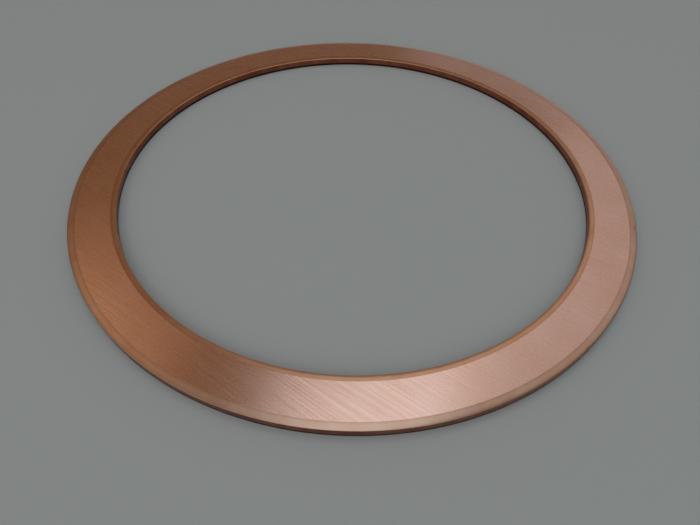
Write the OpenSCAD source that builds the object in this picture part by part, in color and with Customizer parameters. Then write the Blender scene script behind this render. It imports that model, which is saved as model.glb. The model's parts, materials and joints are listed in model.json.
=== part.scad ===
// Flat copper sealing washer, stamped from sheet in one stroke.
// The tool cuts the hole and the outside edge from the same side, so both upper edges are rolled over,
// and below them each wall is first cut smooth and then torn. The washer lies flat on Z = 0, its axis on Z.

/* [Ring] */
// Outside diameter
outer_d = 120.5; // [116:0.1:130]
// Diameter of the hole
hole_d = 101.8; // [60:0.1:108]
// Thickness between the two flat faces
thick = 2; // [1.5:0.1:3]

/* [Cut edges] */
// Width of the rolled-over band beside the hole
hole_roll_w = 1.1; // [0.4:0.05:1.6]
// Width of the rolled-over band beside the outside edge
rim_roll_w = 1.4; // [0.4:0.05:1.6]
// Drop of the rolled-over bands, from the upper face to the top of the wall
roll_drop = 0.12; // [0.05:0.01:0.3]
// Height of the torn zone, from the lower face to the smooth wall
torn_h = 0.6; // [0.3:0.05:0.8]
// Distance that the torn zone leans back from the smooth wall
torn_set = 0.05; // [0.02:0.01:0.1]
// Width of the broken corner beside the lower face
corner = 0.05; // [0.02:0.01:0.1]

/* [Hidden] */
copper = [0.66, 0.45, 0.35];
hole_r = hole_d / 2;
rim_r = outer_d / 2;
roll_steps = 8;
ring_sides = 240;

// A quarter of an ellipse, from the top of the wall to the upper face.
// out is 1 where the metal ends outwards, at the rim, and -1 where it ends inwards, at the hole.
function rolled_band(wall_r, out, roll_w) = [
    for (i = [0 : roll_steps])
        let (a = 90 * i / roll_steps)
            [wall_r - out * roll_w * (1 - cos(a)), thick - roll_drop * (1 - sin(a))]
];

// One cut edge, from the lower face up: broken corner, torn zone, smooth wall, rolled-over band.
function cut_edge(wall_r, out, roll_w) = concat(
    [
        [wall_r - out * (torn_set + corner), 0],
        [wall_r - out * torn_set, corner],
        [wall_r, torn_h],
    ],
    rolled_band(wall_r, out, roll_w)
);

function reversed(points) = [for (i = [len(points) - 1 : -1 : 0]) points[i]];

module washer() {
    rim = cut_edge(rim_r, 1, rim_roll_w);
    hole = cut_edge(hole_r, -1, hole_roll_w);
    color(copper)
        rotate_extrude($fn = ring_sides)
            polygon(concat(rim, reversed(hole)));
}

washer();
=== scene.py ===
"""Looks of a flat copper sealing washer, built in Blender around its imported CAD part.

The washer is one stamped ring. Its section is blanked, cut, rolled and sanded in the order of the real
work, and is then spun round the axis. Each zone that the press or the sandpaper left has its own finish.
"""

import json
import logging
import math
from dataclasses import dataclass
from enum import Enum
from typing import Any

import bmesh
import bpy
from mathutils import Euler, Matrix, Vector, noise


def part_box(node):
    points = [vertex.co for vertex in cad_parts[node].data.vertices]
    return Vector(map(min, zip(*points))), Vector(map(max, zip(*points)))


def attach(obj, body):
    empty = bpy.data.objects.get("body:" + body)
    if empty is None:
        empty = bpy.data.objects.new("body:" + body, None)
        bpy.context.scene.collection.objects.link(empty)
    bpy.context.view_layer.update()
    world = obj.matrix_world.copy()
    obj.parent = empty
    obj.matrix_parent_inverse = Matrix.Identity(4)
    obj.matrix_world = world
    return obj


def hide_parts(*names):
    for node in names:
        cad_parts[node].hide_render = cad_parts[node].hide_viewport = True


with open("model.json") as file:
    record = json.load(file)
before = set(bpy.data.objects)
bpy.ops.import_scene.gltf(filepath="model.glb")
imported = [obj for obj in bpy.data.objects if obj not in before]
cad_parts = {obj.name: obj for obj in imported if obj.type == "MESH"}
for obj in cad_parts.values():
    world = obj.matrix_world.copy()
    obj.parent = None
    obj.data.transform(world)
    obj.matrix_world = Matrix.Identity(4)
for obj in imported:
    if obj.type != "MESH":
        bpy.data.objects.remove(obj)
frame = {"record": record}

LOG = logging.getLogger("washer")
MM = 0.001
BRUSH_MAP = "brush_lines"
# Most of a soft noise's values lie between these two.
NOISE_LOW, NOISE_HIGH = 0.3, 0.7
# A face whose normal is more upright than this is flat.
FLAT = 0.9999
# Points closer than this count as one, in metres.
SAME_POINT = 1e-7

Colour = tuple[float, float, float, float]


class Zone(Enum):
    """The parts of the washer's surface, each with its own finish."""

    SANDED = 0
    HOLE_ROLL = 1
    RIM_ROLL = 2
    SHEARED = 3
    TORN = 4


def srgb(code: str) -> Colour:
    """Turns an sRGB hex colour into linear red, green, blue and alpha.

    Args:
        code: Six hex digits, such as "b87333".

    Returns:
        The four linear values, with an alpha of 1.
    """
    parts = [int(code[i : i + 2], 16) / 255 for i in (0, 2, 4)]
    linear = [p / 12.92 if p <= 0.04045 else ((p + 0.055) / 1.055) ** 2.4 for p in parts]
    return (*linear, 1.0)


def add_node(
    tree: bpy.types.NodeTree,
    kind: str,
    settings: dict[str, Any] | None = None,
    inputs: dict[str | int, Any] | None = None,
) -> bpy.types.Node:
    """Adds a node with its settings and links.

    Args:
        tree: The node tree that gets the node.
        kind: The node's type, such as "ShaderNodeMath".
        settings: Values of the node's own properties.
        inputs: For each input, by name or number, a value or the output socket that feeds it.

    Returns:
        The new node.
    """
    node = tree.nodes.new(kind)
    for name, value in (settings or {}).items():
        setattr(node, name, value)
    for key, value in (inputs or {}).items():
        if isinstance(value, bpy.types.NodeSocket):
            tree.links.new(value, node.inputs[key])
        else:
            node.inputs[key].default_value = value
    return node


def new_material(name: str) -> tuple[bpy.types.Material, bpy.types.NodeTree]:
    """Makes an empty node material.

    Args:
        name: The material's name.

    Returns:
        The material and its node tree.
    """
    material = bpy.data.materials.new(name)
    material.use_nodes = True
    material.node_tree.nodes.clear()
    return material, material.node_tree


def pattern(
    tree: bpy.types.NodeTree,
    place: bpy.types.NodeSocket,
    sizes_mm: tuple[float, float, float],
    turn: float = 0.0,
    detail: float = 2.0,
) -> bpy.types.NodeSocket:
    """Makes soft noise whose features have real sizes.

    Args:
        tree: The node tree.
        place: The coordinates that the noise reads, in metres.
        sizes_mm: The length of one feature along X, Y and Z, in millimetres, after the turn.
        turn: The angle in degrees that the pattern's X axis is turned about Z.
        detail: How many finer layers the noise has.

    Returns:
        The noise's value socket, about 0.5 on average.
    """
    turned = add_node(
        tree,
        "ShaderNodeVectorRotate",
        {"rotation_type": "Z_AXIS"},
        {"Vector": place, "Angle": math.radians(-turn)},
    )
    stretched = add_node(
        tree,
        "ShaderNodeVectorMath",
        {"operation": "MULTIPLY"},
        {0: turned.outputs[0], 1: [1 / (size * MM) for size in sizes_mm]},
    )
    cloud = add_node(
        tree,
        "ShaderNodeTexNoise",
        {"noise_dimensions": "3D"},
        {"Vector": stretched.outputs[0], "Scale": 1.0, "Detail": detail, "Roughness": 0.5},
    )
    return cloud.outputs[0]


def mottle(
    tree: bpy.types.NodeTree, clouds: bpy.types.NodeSocket, low_colour: Colour, high_colour: Colour
) -> bpy.types.NodeSocket:
    """Lets a surface's colour drift softly between two near tones.

    Args:
        tree: The node tree.
        clouds: The pattern that the colour follows.
        low_colour: The colour where the pattern is low.
        high_colour: The colour where the pattern is high.

    Returns:
        The colour's socket.
    """
    share = add_node(
        tree,
        "ShaderNodeMapRange",
        inputs={"Value": clouds, "From Min": NOISE_LOW, "From Max": NOISE_HIGH},
    )
    mixed = add_node(
        tree,
        "ShaderNodeMix",
        {"data_type": "RGBA"},
        {0: share.outputs[0], 6: low_colour, 7: high_colour},
    )
    return mixed.outputs[2]


@dataclass(frozen=True)
class SandedCopper:
    """Soft bare copper, sanded by hand in straight parallel strokes and not polished.

    Attributes:
        name: The material's name.
        colour: The clean metal.
        worn_colour: The metal where it has dulled a little.
        groove_colour: The metal at the bottom of a stroke or a scratch.
        roughness: How far the strokes blur a reflection.
        roughness_change: How much duller a groove is than the middle of the range.
        anisotropy: How much further the blur reaches across the strokes than along them.
        stroke_turn: Direction of the strokes, in degrees from +X towards +Y.
        stroke_length_mm: Length of one stroke.
        stroke_width_mm: Width of one stroke.
        stroke_depth_mm: Depth of one stroke.
        finer_length: Length of the finer strokes, as a share of the others.
        finer_width: Width of the finer strokes, as a share of the others.
        stroke_levels: The sum of both noises at the bottom of a groove and on a ridge.
        groove_cover: How much of the groove colour shows at the bottom of a stroke.
        groove_top: The stroke height at which the groove colour ends.
        cloud_mm: Size of the patches that have dulled.
        scratch_length_mm: Length of one stray scratch.
        scratch_width_mm: Width of one stray scratch.
        scratch_turn: How far the stray scratches are turned from the strokes, in degrees.
        scratch_levels: The noise's values at a scratch's edge and at its middle.
        scratch_cover: How much of the groove colour shows in a scratch.
    """

    # Straight sanding spreads a reflection across the strokes and shows as fine silky lines.
    name: str = "bare_copper_sanded_straight"
    colour: Colour = srgb("fad1c2")
    worn_colour: Colour = srgb("f5c6b2")
    groove_colour: Colour = srgb("e9b49e")
    roughness: float = 0.27
    roughness_change: float = 0.03
    anisotropy: float = 0.7
    stroke_turn: float = -34.0
    stroke_length_mm: float = 22.0
    # Real strokes are about 0.06 mm wide, too fine to show, so they are drawn over five times as coarse.
    stroke_width_mm: float = 0.34
    stroke_depth_mm: float = 0.002
    finer_length: float = 0.7
    finer_width: float = 0.75
    stroke_levels: tuple[float, float] = (0.6, 1.4)
    groove_cover: float = 0.14
    groove_top: float = 0.8
    cloud_mm: float = 9.0
    scratch_length_mm: float = 5.0
    scratch_width_mm: float = 0.3
    scratch_turn: float = 3.0
    scratch_levels: tuple[float, float] = (0.68, 0.76)
    scratch_cover: float = 0.3

    def strokes(self, tree: bpy.types.NodeTree, place: bpy.types.NodeSocket) -> bpy.types.NodeSocket:
        """Makes the height of the sanding strokes.

        Args:
            tree: The material's node tree.
            place: The object coordinates.

        Returns:
            The height's socket, from 0 in a groove to 1 on a ridge.
        """
        length, width = self.stroke_length_mm, self.stroke_width_mm
        thin_length, thin_width = length * self.finer_length, width * self.finer_width
        coarse = pattern(tree, place, (length, width, width), self.stroke_turn, 0.0)
        fine = pattern(tree, place, (thin_length, thin_width, thin_width), self.stroke_turn, 0.0)
        both = add_node(tree, "ShaderNodeMath", {"operation": "ADD"}, {0: coarse, 1: fine})
        low, high = self.stroke_levels
        height = add_node(
            tree,
            "ShaderNodeMapRange",
            inputs={"Value": both.outputs[0], "From Min": low, "From Max": high},
        )
        return height.outputs[0]

    def tint(
        self,
        tree: bpy.types.NodeTree,
        place: bpy.types.NodeSocket,
        strokes: bpy.types.NodeSocket,
    ) -> bpy.types.NodeSocket:
        """Makes the colour, with its dull patches, stroke lines and stray scratches.

        Args:
            tree: The material's node tree.
            place: The object coordinates.
            strokes: The height of the sanding strokes.

        Returns:
            The colour's socket.
        """
        clouds = pattern(tree, place, (self.cloud_mm,) * 3)
        clean = mottle(tree, clouds, self.colour, self.worn_colour)
        line = add_node(
            tree,
            "ShaderNodeMapRange",
            inputs={
                "Value": strokes,
                "From Max": self.groove_top,
                "To Min": self.groove_cover,
                "To Max": 0.0,
            },
        )
        lined = add_node(
            tree,
            "ShaderNodeMix",
            {"data_type": "RGBA"},
            {0: line.outputs[0], 6: clean, 7: self.groove_colour},
        )
        scratch_size = (self.scratch_length_mm, self.scratch_width_mm, self.scratch_width_mm)
        scratches = pattern(tree, place, scratch_size, self.stroke_turn + self.scratch_turn, 0.0)
        edge, middle = self.scratch_levels
        scratch = add_node(
            tree,
            "ShaderNodeMapRange",
            inputs={"Value": scratches, "From Min": edge, "From Max": middle, "To Max": self.scratch_cover},
        )
        scratched = add_node(
            tree,
            "ShaderNodeMix",
            {"data_type": "RGBA"},
            {0: scratch.outputs[0], 6: lined.outputs[2], 7: self.groove_colour},
        )
        return scratched.outputs[2]

    def make(self) -> bpy.types.Material:
        """Builds the material.

        Returns:
            The new material.
        """
        material, tree = new_material(self.name)
        place = add_node(tree, "ShaderNodeTexCoord").outputs["Object"]
        strokes = self.strokes(tree, place)
        sheen = add_node(
            tree,
            "ShaderNodeMapRange",
            inputs={
                "Value": strokes,
                "To Min": self.roughness + self.roughness_change,
                "To Max": self.roughness - self.roughness_change,
            },
        )
        relief = add_node(
            tree,
            "ShaderNodeBump",
            inputs={"Strength": 1.0, "Distance": self.stroke_depth_mm * MM, "Height": strokes},
        )
        across = add_node(tree, "ShaderNodeTangent", {"direction_type": "UV_MAP", "uv_map": BRUSH_MAP})
        shader = add_node(
            tree,
            "ShaderNodeBsdfPrincipled",
            inputs={
                "Base Color": self.tint(tree, place, strokes),
                "Metallic": 1.0,
                "Roughness": sheen.outputs[0],
                "Anisotropic": self.anisotropy,
                "Normal": relief.outputs[0],
                "Tangent": across.outputs[0],
            },
        )
        add_node(tree, "ShaderNodeOutputMaterial", inputs={"Surface": shader.outputs[0]})
        return material


@dataclass(frozen=True)
class RolledCopper:
    """Copper skin that the die pulled down over the edge, which the sanding never reached.

    Attributes:
        name: The material's name.
        colour: The clean skin.
        dark_colour: The skin where it has dulled a little.
        face_middle: Radius of the middle of the sanded face, in metres.
        face_half: Half of the sanded face's width, in metres.
        roughness: How far the skin blurs a reflection.
        grain_mm: Size of the stretched metal's grains.
        grain_depth_mm: Depth of the dips between grains.
        grain_strength: How strongly the dips show.
        cloud_mm: Size of the patches that have dulled.
        crease_shade_colour: Painted shade for the dark line beside the sanded face.
        crease_shade_width_mm: Width of the painted shade line beside the sanded face.
        crease_shade_cover: How much of the painted shade's colour shows beside the sanded face.
    """

    # The mill's smooth skin is deeper in colour than sanded metal. The dark line along it beside the sanded
    # face is painted shade, standing in for the darker reflection that the band's tilt catches there.
    name: str
    colour: Colour
    dark_colour: Colour
    face_middle: float
    face_half: float
    roughness: float = 0.3
    grain_mm: float = 0.5
    grain_depth_mm: float = 0.004
    grain_strength: float = 0.4
    cloud_mm: float = 4.0
    # Painted shade: a darker line beside the sanded face.
    crease_shade_colour: Colour = srgb("c08a74")
    crease_shade_width_mm: float = 0.45
    crease_shade_cover: float = 0.45

    def crease_shade(self, tree: bpy.types.NodeTree, place: bpy.types.NodeSocket) -> bpy.types.NodeSocket:
        """Finds how strongly the painted shade line darkens each place.

        Args:
            tree: The material's node tree.
            place: The object coordinates.

        Returns:
            A socket that is highest beside the sanded face and falls to 0 over the painted shade line's
            width.
        """
        flat = add_node(tree, "ShaderNodeVectorMath", {"operation": "MULTIPLY"}, {0: place, 1: (1, 1, 0)})
        radius = add_node(tree, "ShaderNodeVectorMath", {"operation": "LENGTH"}, {0: flat.outputs[0]})
        offset = add_node(
            tree,
            "ShaderNodeMath",
            {"operation": "SUBTRACT"},
            {0: radius.outputs["Value"], 1: self.face_middle},
        )
        away = add_node(tree, "ShaderNodeMath", {"operation": "ABSOLUTE"}, {0: offset.outputs[0]})
        share = add_node(
            tree,
            "ShaderNodeMapRange",
            inputs={
                "Value": away.outputs[0],
                "From Min": self.face_half,
                "From Max": self.face_half + self.crease_shade_width_mm * MM,
                "To Min": self.crease_shade_cover,
                "To Max": 0.0,
            },
        )
        return share.outputs[0]

    def make(self) -> bpy.types.Material:
        """Builds the material.

        Returns:
            The new material.
        """
        material, tree = new_material(self.name)
        place = add_node(tree, "ShaderNodeTexCoord").outputs["Object"]
        grain = pattern(tree, place, (self.grain_mm,) * 3)
        clouds = pattern(tree, place, (self.cloud_mm,) * 3)
        clean = mottle(tree, clouds, self.colour, self.dark_colour)
        # Painted shade: the skin darkens in a fine line beside the sanded face.
        crease_shaded = add_node(
            tree,
            "ShaderNodeMix",
            {"data_type": "RGBA"},
            {0: self.crease_shade(tree, place), 6: clean, 7: self.crease_shade_colour},
        )
        orange_peel = add_node(
            tree,
            "ShaderNodeBump",
            inputs={
                "Strength": self.grain_strength,
                "Distance": self.grain_depth_mm * MM,
                "Height": grain,
            },
        )
        shader = add_node(
            tree,
            "ShaderNodeBsdfPrincipled",
            inputs={
                "Base Color": crease_shaded.outputs[2],
                "Metallic": 1.0,
                "Roughness": self.roughness,
                "Normal": orange_peel.outputs[0],
            },
        )
        add_node(tree, "ShaderNodeOutputMaterial", inputs={"Surface": shader.outputs[0]})
        return material


@dataclass(frozen=True)
class ShearedCopper:
    """Copper wall that slid along the die while it was cut.

    Attributes:
        name: The material's name.
        colour: The wall, set darker than the face, partly for oxide and partly as painted shade.
        dark_colour: The wall where die oil has stained it.
        roughness: How far the wall blurs a reflection.
        anisotropy: How much further the blur reaches across the scores than along them.
        score_width_mm: Width of one score.
        score_length_mm: Length of one score.
        score_depth_mm: Depth of one score.
        score_strength: How strongly the scores show.
        cloud_mm: Size of the stains.
    """

    # The die smears the wall smooth and scores it upright, so it glints in short lines. Its colour is
    # darker than the face partly for oxide and partly as painted shade, standing in for the shadowed floor
    # that the wall reflects.
    name: str = "bare_copper_sheared_smooth"
    # Partly painted shade: darkened for the shadowed floor that the wall reflects.
    colour: Colour = srgb("b06e57")
    dark_colour: Colour = srgb("8e5240")
    roughness: float = 0.32
    anisotropy: float = 0.4
    score_width_mm: float = 0.3
    score_length_mm: float = 6.0
    score_depth_mm: float = 0.006
    score_strength: float = 0.5
    cloud_mm: float = 3.0

    def make(self) -> bpy.types.Material:
        """Builds the material.

        Returns:
            The new material.
        """
        material, tree = new_material(self.name)
        place = add_node(tree, "ShaderNodeTexCoord").outputs["Object"]
        score_size = (self.score_width_mm, self.score_width_mm, self.score_length_mm)
        scores = pattern(tree, place, score_size, detail=3.0)
        clouds = pattern(tree, place, (self.cloud_mm,) * 3)
        upright = add_node(
            tree,
            "ShaderNodeBump",
            inputs={
                "Strength": self.score_strength,
                "Distance": self.score_depth_mm * MM,
                "Height": scores,
            },
        )
        round_the_axis = add_node(tree, "ShaderNodeTangent", {"direction_type": "RADIAL", "axis": "Z"})
        shader = add_node(
            tree,
            "ShaderNodeBsdfPrincipled",
            inputs={
                "Base Color": mottle(tree, clouds, self.colour, self.dark_colour),
                "Metallic": 1.0,
                "Roughness": self.roughness,
                "Anisotropic": self.anisotropy,
                "Normal": upright.outputs[0],
                "Tangent": round_the_axis.outputs[0],
            },
        )
        add_node(tree, "ShaderNodeOutputMaterial", inputs={"Surface": shader.outputs[0]})
        return material


@dataclass(frozen=True)
class TornCopper:
    """Copper that broke away under the cut.

    Attributes:
        height_mm: Height of the torn zone above the lower face.
        name: The material's name.
        colour: The highest grains.
        dark_colour: The bottom of a pit.
        foot_shade_colour: Painted contact shadow at the foot of the wall.
        roughness: How far the torn metal blurs a reflection.
        pit_mm: Width of one pit.
        pit_height_mm: Height of one pit, drawn out by the tear.
        pit_depth_mm: Depth of one pit.
        pit_strength: How strongly the pits show.
    """

    height_mm: float
    # The pits of torn metal hold oxide and die oil, so it is dull and grainy. Its dark tones are partly
    # oxide and partly painted shade of this rough, downward-facing zone, and the darkening towards the foot
    # is a painted contact shadow.
    name: str = "bare_copper_torn_dull"
    colour: Colour = srgb("7a5040")
    dark_colour: Colour = srgb("4a2a20")
    # Painted contact shadow at the foot of the wall.
    foot_shade_colour: Colour = srgb("22120e")
    roughness: float = 0.55
    pit_mm: float = 0.25
    pit_height_mm: float = 0.5
    pit_depth_mm: float = 0.03
    pit_strength: float = 0.7

    def make(self) -> bpy.types.Material:
        """Builds the material.

        Returns:
            The new material.
        """
        material, tree = new_material(self.name)
        place = add_node(tree, "ShaderNodeTexCoord").outputs["Object"]
        pits = pattern(tree, place, (self.pit_mm, self.pit_mm, self.pit_height_mm), detail=3.0)
        grainy = mottle(tree, pits, self.dark_colour, self.colour)
        height = add_node(tree, "ShaderNodeSeparateXYZ", inputs={"Vector": place}).outputs[2]
        # Painted contact shadow: the colour darkens towards the foot of the wall.
        foot = add_node(
            tree,
            "ShaderNodeMapRange",
            inputs={"Value": height, "From Max": self.height_mm * MM, "To Min": 1.0, "To Max": 0.0},
        )
        foot_shadowed = add_node(
            tree,
            "ShaderNodeMix",
            {"data_type": "RGBA"},
            {0: foot.outputs[0], 6: grainy, 7: self.foot_shade_colour},
        )
        rough = add_node(
            tree,
            "ShaderNodeBump",
            inputs={
                "Strength": self.pit_strength,
                "Distance": self.pit_depth_mm * MM,
                "Height": pits,
            },
        )
        shader = add_node(
            tree,
            "ShaderNodeBsdfPrincipled",
            inputs={
                "Base Color": foot_shadowed.outputs[2],
                "Metallic": 1.0,
                "Roughness": self.roughness,
                "Normal": rough.outputs[0],
            },
        )
        add_node(tree, "ShaderNodeOutputMaterial", inputs={"Surface": shader.outputs[0]})
        return material


CopperFinish = SandedCopper | RolledCopper | ShearedCopper | TornCopper


@dataclass(frozen=True)
class Nick:
    """A small dent that handling left in an upper edge.

    Attributes:
        turn: Place round the ring, in degrees from +X towards +Y.
        on_rim: Whether it is in the rim's edge rather than the hole's.
        length: Length along the edge.
        depth: How far the edge is pushed in.
    """

    turn: float
    on_rim: bool
    length: float
    depth: float


@dataclass
class Washer:
    """The stamped ring. All its lengths are in metres.

    Attributes:
        hole_r: Radius of the hole's smooth wall.
        rim_r: Radius of the rim's smooth wall.
        thick: Distance between the two faces.
        hole_roll: Width of the rolled band beside the hole, left after sanding.
        rim_roll: Width of the rolled band beside the rim, left after sanding.
        roll_drop: How far a rolled band drops from the face to the top of its wall.
        sanded_off: Metal that the sanding took off the upper face.
        torn_height: Height of the torn zone above the lower face.
        torn_set: How far the torn zone leans back at the bottom.
        corner: Width of the broken corner beside the lower face.
        corner_segments: Flats across a broken corner.
        roll_segments: Flats across a rolled corner, before sanding.
        steepest_roll: Upward share of the normal below which a rolled face counts as wall.
        ring_steps: Steps round the ring.
        face_strips: Extra cuts across each flat face.
        waviness: Half of the deepest dip below flat.
        wave_size: Rough distance between two dips.
        nicks: The dents in the upper edges.
    """

    hole_r: float
    rim_r: float
    thick: float
    hole_roll: float = 1.1 * MM
    rim_roll: float = 1.4 * MM
    roll_drop: float = 0.12 * MM
    sanded_off: float = 0.02 * MM
    torn_height: float = 0.6 * MM
    torn_set: float = 0.05 * MM
    corner: float = 0.05 * MM
    corner_segments: int = 3
    roll_segments: int = 12
    steepest_roll: float = math.cos(math.radians(60.0))
    ring_steps: int = 1080
    face_strips: int = 6
    waviness: float = 0.008 * MM
    wave_size: float = 14 * MM
    nicks: tuple[Nick, ...] = (
        Nick(345.0, True, 1.2 * MM, 0.15 * MM),
        Nick(312.0, True, 0.9 * MM, 0.04 * MM),
        Nick(236.0, True, 1.2 * MM, 0.05 * MM),
        Nick(165.0, True, 1.0 * MM, 0.06 * MM),
        Nick(98.0, True, 0.8 * MM, 0.05 * MM),
        Nick(28.0, False, 0.9 * MM, 0.05 * MM),
        Nick(203.0, False, 1.1 * MM, 0.06 * MM),
        Nick(287.0, False, 0.8 * MM, 0.04 * MM),
    )

    def blank_height(self) -> float:
        """Height of the blank before its upper face was sanded."""
        return self.thick + self.sanded_off

    def middle_r(self) -> float:
        """Radius of the middle of the ring's width."""
        return (self.hole_r + self.rim_r) / 2

    def section(self) -> bmesh.types.BMesh:
        """Makes the ring's section in the XZ plane, in the order of the real work.

        Returns:
            A mesh with the section's one face.
        """
        bm = bmesh.new()
        outline = (
            (self.hole_r, 0.0),
            (self.rim_r, 0.0),
            (self.rim_r, self.blank_height()),
            (self.hole_r, self.blank_height()),
        )
        bm.faces.new([bm.verts.new((x, 0.0, z)) for x, z in outline])
        self.tear_walls(bm)
        self.roll_corner(bm, self.hole_r, self.hole_roll)
        self.roll_corner(bm, self.rim_r, self.rim_roll)
        self.break_corners(bm)
        self.sand(bm)
        return bm

    def tear_walls(self, bm: bmesh.types.BMesh) -> None:
        """Leans the foot of each wall back from the smooth cut.

        Args:
            bm: The section.
        """
        walls = [e for e in bm.edges if abs(e.verts[0].co.x - e.verts[1].co.x) < self.corner]
        torn_share = self.torn_height / self.blank_height()
        shares = {}
        for wall in walls:
            starts_low = wall.verts[0].co.z < wall.verts[1].co.z
            shares[wall] = torn_share if starts_low else 1 - torn_share
        bmesh.ops.bisect_edges(bm, edges=walls, cuts=1, edge_percents=shares)
        for vert in bm.verts:
            if vert.co.z < self.corner:
                inward = 1 if vert.co.x < self.middle_r() else -1
                vert.co.x += inward * self.torn_set

    def roll_corner(self, bm: bmesh.types.BMesh, wall_r: float, band: float) -> None:
        """Rolls one upper corner over, as a quarter of an ellipse that the sanding will cut.

        Args:
            bm: The section.
            wall_r: Radius of the corner's wall.
            band: Width of the band that the sanding leaves.
        """
        depth = self.roll_drop + self.sanded_off
        left_share = self.roll_drop / depth
        width = band / (1 - math.sqrt(1 - left_share**2))
        top = self.blank_height()
        sharp = min(bm.verts, key=lambda v: abs(v.co.x - wall_r) + abs(v.co.z - top))
        stretch = Matrix.Scale(width / depth, 4, (0, 0, 1))
        bmesh.ops.transform(bm, matrix=stretch, verts=bm.verts)
        bmesh.ops.bevel(
            bm,
            geom=[sharp],
            affect="VERTICES",
            offset=width,
            offset_type="OFFSET",
            segments=self.roll_segments,
            profile=0.5,
            material=-1,
        )
        bmesh.ops.transform(bm, matrix=stretch.inverted(), verts=bm.verts)

    def break_corners(self, bm: bmesh.types.BMesh) -> None:
        """Rounds the two lower corners, where a burr was rubbed off.

        Args:
            bm: The section.
        """
        bmesh.ops.bevel(
            bm,
            geom=[v for v in bm.verts if v.co.z < self.corner],
            affect="VERTICES",
            offset=self.corner,
            offset_type="OFFSET",
            segments=self.corner_segments,
            profile=0.5,
            material=-1,
        )

    def sand(self, bm: bmesh.types.BMesh) -> None:
        """Cuts the upper face down to the finished thickness, and both faces into strips.

        Args:
            bm: The section.
        """
        bmesh.ops.bisect_plane(
            bm,
            geom=bm.verts[:] + bm.edges[:] + bm.faces[:],
            dist=SAME_POINT,
            plane_co=(0, 0, self.thick),
            plane_no=(0, 0, 1),
            clear_outer=True,
        )
        # Only the edges are cut: a cut across the section's face would spin into a wall inside the ring.
        wide = [edge for edge in bm.edges if edge.calc_length() > self.rim_roll * 2]
        bmesh.ops.bisect_edges(bm, edges=wide, cuts=self.face_strips)

    def build(self) -> bpy.types.Object:
        """Spins the section into the ring and wears it a little.

        Returns:
            The washer's object.
        """
        bm = self.section()
        bmesh.ops.delete(bm, geom=bm.faces[:], context="FACES_ONLY")
        bmesh.ops.spin(
            bm,
            geom=bm.verts[:] + bm.edges[:],
            axis=(0, 0, 1),
            cent=(0, 0, 0),
            angle=math.tau,
            steps=self.ring_steps,
            use_merge=True,
        )
        bmesh.ops.recalc_face_normals(bm, faces=bm.faces[:])
        self.zone_faces(bm)
        self.wave_faces(bm)
        for nick in self.nicks:
            self.dent(bm, nick)
        self.map_strokes(bm)
        mesh = bpy.data.meshes.new("copper_washer")
        bm.to_mesh(mesh)
        bm.free()
        washer = bpy.data.objects.new("copper_washer", mesh)
        bpy.context.scene.collection.objects.link(washer)
        return washer

    def zone_of(self, face: bmesh.types.BMFace) -> Zone:
        """Says which zone a face is in.

        Args:
            face: A face of the ring, before it is waved or dented.

        Returns:
            The face's zone.
        """
        upright = abs(face.normal.z)
        if upright > FLAT:
            return Zone.SANDED
        if face.calc_center_median().z < self.torn_height:
            return Zone.TORN
        if upright < self.steepest_roll:
            return Zone.SHEARED
        near_rim = face.calc_center_median().xy.length > self.middle_r()
        return Zone.RIM_ROLL if near_rim else Zone.HOLE_ROLL

    def zone_faces(self, bm: bmesh.types.BMesh) -> None:
        """Gives each face its zone's material, and a sharp edge where two zones meet.

        Args:
            bm: The ring.
        """
        for face in bm.faces:
            face.material_index = self.zone_of(face).value
            face.smooth = True
        for edge in bm.edges:
            edge.smooth = len({face.material_index for face in edge.link_faces}) == 1

    def wave_faces(self, bm: bmesh.types.BMesh) -> None:
        """Gives the sheet the slight unevenness of soft metal that was pressed and handled.

        Args:
            bm: The ring.
        """
        for vert in bm.verts:
            if vert.co.z > self.torn_height:
                swell = noise.noise(vert.co / self.wave_size)
                vert.co.z += swell * self.waviness - self.waviness

    def dent(self, bm: bmesh.types.BMesh, nick: Nick) -> None:
        """Pushes an upper edge in, and half as far down, at one place.

        Args:
            bm: The ring.
            nick: The place and the size of the dent.
        """
        turn = math.radians(nick.turn)
        wall_r = self.rim_r if nick.on_rim else self.hole_r
        inward = -1 if nick.on_rim else 1
        edge_height = self.thick - self.roll_drop
        middle = Vector((wall_r * math.cos(turn), wall_r * math.sin(turn), edge_height))
        for vert in bm.verts:
            share = 1 - (vert.co - middle).length / (nick.length / 2)
            if share > 0:
                push = vert.co.xy.normalized() * inward * nick.depth * share
                vert.co += Vector((push.x, push.y, -nick.depth * share / 2))

    def map_strokes(self, bm: bmesh.types.BMesh) -> None:
        """Lays a flat map whose U axis runs across the sanding strokes, for their sheen.

        Args:
            bm: The ring.
        """
        layer = bm.loops.layers.uv.new(BRUSH_MAP)
        turn = math.radians(SandedCopper.stroke_turn)
        along = Vector((math.cos(turn), math.sin(turn), 0))
        across = Vector((-math.sin(turn), math.cos(turn), 0))
        for face in bm.faces:
            for loop in face.loops:
                place = loop.vert.co / self.rim_r
                loop[layer].uv = (place.dot(across), place.dot(along))

    def finishes(self) -> dict[Zone, CopperFinish]:
        """Gives each zone its finish.

        Returns:
            The finishes, in the order of the zones.
        """
        inner, outer = self.hole_r + self.hole_roll, self.rim_r - self.rim_roll
        middle, half = (inner + outer) / 2, (outer - inner) / 2
        # The hole's band is a warm, deep copper. The rim's band is painted paler and greyer, standing in
        # for the cool low light that it reflects.
        hole_band_finish = RolledCopper("bare_copper_die_rolled", srgb("f3bf9e"), srgb("e9ae8c"), middle, half)
        rim_band_painted_cool = RolledCopper("rim_copper_die_rolled_painted_cool", srgb("e9c6b3"), srgb("dfb59f"), middle, half)
        return {
            Zone.SANDED: SandedCopper(),
            Zone.HOLE_ROLL: hole_band_finish,
            Zone.RIM_ROLL: rim_band_painted_cool,
            Zone.SHEARED: ShearedCopper(),
            Zone.TORN: TornCopper(height_mm=self.torn_height / MM),
        }

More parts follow.
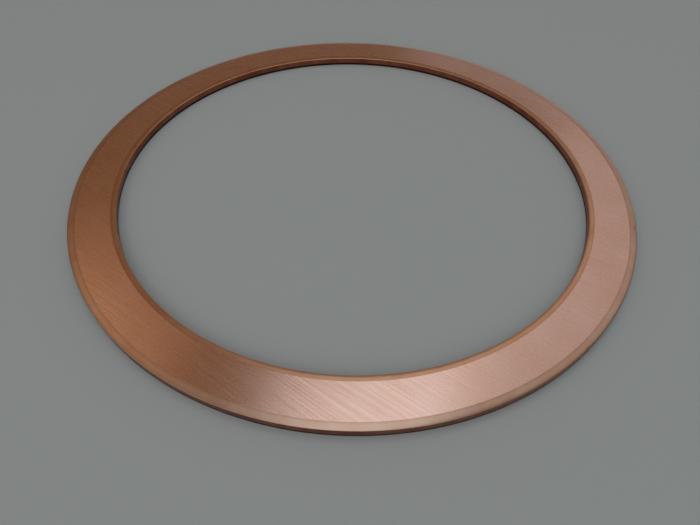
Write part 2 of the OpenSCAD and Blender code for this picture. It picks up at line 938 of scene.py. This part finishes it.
    def dress(self, washer: bpy.types.Object) -> None:
        """Gives the ring its finishes, and puts it in the place of the CAD part.

        Args:
            washer: The washer's object.
        """
        for finish in self.finishes().values():
            washer.data.materials.append(finish.make())
        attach(washer, "root")
        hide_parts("washer")


@dataclass(frozen=True)
class MattCard:
    """Pale uncoated card.

    Attributes:
        name: The material's name.
        colour: The card's colour.
        roughness: How far the card blurs a reflection.
        fibre_mm: Size of one tuft of fibres.
        fibre_depth_mm: Depth between the fibres.
        fibre_strength: How strongly the fibres show.
    """

    # Loose fibres scatter light evenly, so the card is soft and has no gloss.
    name: str = "matt_card"
    colour: Colour = srgb("c8d8e0")
    roughness: float = 0.85
    fibre_mm: float = 0.6
    fibre_depth_mm: float = 0.05
    fibre_strength: float = 0.3

    def make(self) -> bpy.types.Material:
        """Builds the material.

        Returns:
            The new material.
        """
        material, tree = new_material(self.name)
        place = add_node(tree, "ShaderNodeTexCoord").outputs["Object"]
        fibres = pattern(tree, place, (self.fibre_mm,) * 3, detail=3.0)
        nap = add_node(
            tree,
            "ShaderNodeBump",
            inputs={
                "Strength": self.fibre_strength,
                "Distance": self.fibre_depth_mm * MM,
                "Height": fibres,
            },
        )
        shader = add_node(
            tree,
            "ShaderNodeBsdfPrincipled",
            inputs={"Base Color": self.colour, "Roughness": self.roughness, "Normal": nap.outputs[0]},
        )
        add_node(tree, "ShaderNodeOutputMaterial", inputs={"Surface": shader.outputs[0]})
        return material


@dataclass(frozen=True)
class Softbox:
    """A large plain lamp with a white cloth front.

    Attributes:
        name: The lamp's name.
        azimuth: Direction of the lamp from the washer, in degrees from +X towards +Y.
        elevation: Height of the lamp above the floor, in degrees.
        distance: Distance from the washer, in metres.
        width: Width of the cloth, in metres.
        height: Height of the cloth, in metres.
        radiance: Brightness of the cloth.
        colour: Tint of the light.
    """

    name: str
    azimuth: float
    elevation: float
    distance: float
    width: float
    height: float
    radiance: float
    colour: Colour

    def build(self) -> bpy.types.Object:
        """Adds the lamp, facing the washer.

        Returns:
            The lamp's object.
        """
        lamp = bpy.data.lights.new(self.name, "AREA")
        lamp.shape = "RECTANGLE"
        lamp.size = self.width
        lamp.size_y = self.height
        lamp.color = self.colour[:3]
        # A flat lamp of this area and power has the stated radiance.
        lamp.energy = self.radiance * self.width * self.height * math.pi
        stand = bpy.data.objects.new(self.name, lamp)
        turn, lift = math.radians(self.azimuth), math.radians(self.elevation)
        towards = Vector((math.cos(turn) * math.cos(lift), math.sin(turn) * math.cos(lift), math.sin(lift)))
        stand.location = towards * self.distance
        stand.rotation_euler = towards.to_track_quat("Z", "Y").to_euler()
        stand.visible_camera = False
        bpy.context.scene.collection.objects.link(stand)
        return stand


@dataclass
class Studio:
    """The floor, the lamps, the room and the camera around the washer.

    Attributes:
        floor_size: Side of the square floor, in metres.
        room_colour: Tint of the room's dim light.
        room_light: Brightness of the room.
        backdrop_colour: Tint of the backdrop that stands round the floor.
        backdrop_light: Brightness of the backdrop.
        backdrop_top: Upward share of the direction at which the backdrop starts to fade.
        backdrop_end: Upward share of the direction at which the backdrop has faded into the room.
        target: The point that the camera looks at, in metres.
        camera_distance: Distance from the camera to that point, in metres.
        camera_tilt: Height of the camera above the floor, in degrees.
        camera_roll: Turn of the camera about its view, in degrees.
        lens_mm: Focal length.
        sensor_mm: Width of the camera's sensor.
        nearest: Distance from the camera at which its view starts, in metres.
        lamps: The softboxes.
    """

    floor_size: float = 2.2
    room_colour: Colour = srgb("ffca92")
    room_light: float = 0.14
    backdrop_colour: Colour = srgb("dfe2e4")
    backdrop_light: float = 0.3
    backdrop_top: float = 0.22
    backdrop_end: float = 0.37
    target: tuple[float, float, float] = (-0.26 * MM, -25.1 * MM, 0.0)
    camera_distance: float = 104.25 * MM
    camera_tilt: float = 48.9
    camera_roll: float = 1.45
    lens_mm: float = 27.4
    sensor_mm: float = 36.0
    nearest: float = 5 * MM
    lamps: tuple[Softbox, ...] = (
        Softbox("overhead", 84.0, 84.0, 1.0, 0.38, 1.1, 1.02, srgb("def0fa")),
        Softbox("tall_window", 48.0, 48.0, 1.0, 0.45, 0.54, 0.38, srgb("eaf4fa")),
        Softbox("low_window", 60.0, 20.0, 1.0, 0.75, 0.25, 0.32, srgb("e2f0ff")),
        Softbox("low_strip", 95.0, 9.0, 1.0, 0.6, 0.12, 0.4, srgb("e2f0ff")),
        Softbox("side_lamp", 141.0, 50.0, 1.0, 0.24, 0.3, 0.45, srgb("ffdcb8")),
        Softbox("front_fill", 270.0, 40.0, 1.0, 1.5, 1.0, 0.4, srgb("fbfdff")),
        Softbox("left_fill", 205.0, 35.0, 1.0, 1.0, 0.8, 0.3, srgb("fff6ea")),
    )

    def build(self) -> None:
        """Adds everything around the washer."""
        self.lay_floor()
        for lamp in self.lamps:
            lamp.build()
            LOG.info("lamp %s", lamp.name)
        self.light_room()
        self.place_camera()
        bpy.context.scene.view_settings.view_transform = "Standard"

    def lay_floor(self) -> None:
        """Adds the plain pale floor under the washer."""
        bm = bmesh.new()
        bmesh.ops.create_grid(bm, x_segments=1, y_segments=1, size=self.floor_size / 2)
        mesh = bpy.data.meshes.new("floor")
        bm.to_mesh(mesh)
        bm.free()
        mesh.materials.append(MattCard().make())
        floor = bpy.data.objects.new("floor", mesh)
        bpy.context.scene.collection.objects.link(floor)
        LOG.info("floor: %.1f m square", self.floor_size)

    def light_room(self) -> None:
        """Fills the room with dim warm light over a pale backdrop near the horizon."""
        world = bpy.data.worlds.new("room")
        world.use_nodes = True
        tree = world.node_tree
        tree.nodes.clear()
        direction = add_node(tree, "ShaderNodeTexCoord").outputs["Generated"]
        height = add_node(tree, "ShaderNodeSeparateXYZ", inputs={"Vector": direction}).outputs[2]
        above = add_node(
            tree,
            "ShaderNodeMapRange",
            inputs={"Value": height, "From Min": self.backdrop_top, "From Max": self.backdrop_end},
        )
        tint = add_node(
            tree,
            "ShaderNodeMix",
            {"data_type": "RGBA"},
            {0: above.outputs[0], 6: self.backdrop_colour, 7: self.room_colour},
        )
        strength = add_node(
            tree,
            "ShaderNodeMapRange",
            inputs={"Value": above.outputs[0], "To Min": self.backdrop_light, "To Max": self.room_light},
        )
        glow = add_node(
            tree,
            "ShaderNodeBackground",
            inputs={"Color": tint.outputs[2], "Strength": strength.outputs[0]},
        )
        add_node(tree, "ShaderNodeOutputWorld", inputs={"Surface": glow.outputs[0]})
        bpy.context.scene.world = world

    def place_camera(self) -> None:
        """Adds the camera, close over the near side of the washer."""
        data = bpy.data.cameras.new("camera")
        data.lens = self.lens_mm
        data.sensor_width = self.sensor_mm
        data.clip_start = self.nearest
        camera = bpy.data.objects.new("camera", data)
        tilt = math.radians(self.camera_tilt)
        back = Vector((0, -math.cos(tilt), math.sin(tilt)))
        camera.location = Vector(self.target) + back * self.camera_distance
        level = Euler((math.pi / 2 - tilt, 0, 0)).to_matrix()
        roll = Matrix.Rotation(math.radians(self.camera_roll), 3, "Z")
        camera.rotation_euler = (level @ roll).to_euler()
        bpy.context.scene.collection.objects.link(camera)
        bpy.context.scene.camera = camera


def main() -> None:
    logging.basicConfig(level=logging.INFO, format="%(name)s: %(message)s")
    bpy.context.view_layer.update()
    mounts = {mount["name"]: mount for mount in frame["record"]["mounts"]}
    low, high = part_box("washer")
    ring = Washer(
        hole_r=mounts["hole"]["dims"]["r_mm"] * MM,
        rim_r=mounts["rim"]["dims"]["r_mm"] * MM,
        thick=high.z - low.z,
    )
    washer = ring.build()
    ring.dress(washer)
    LOG.info("copper_washer: %d faces", len(washer.data.polygons))
    Studio().build()


if __name__ == "__main__":
    main()
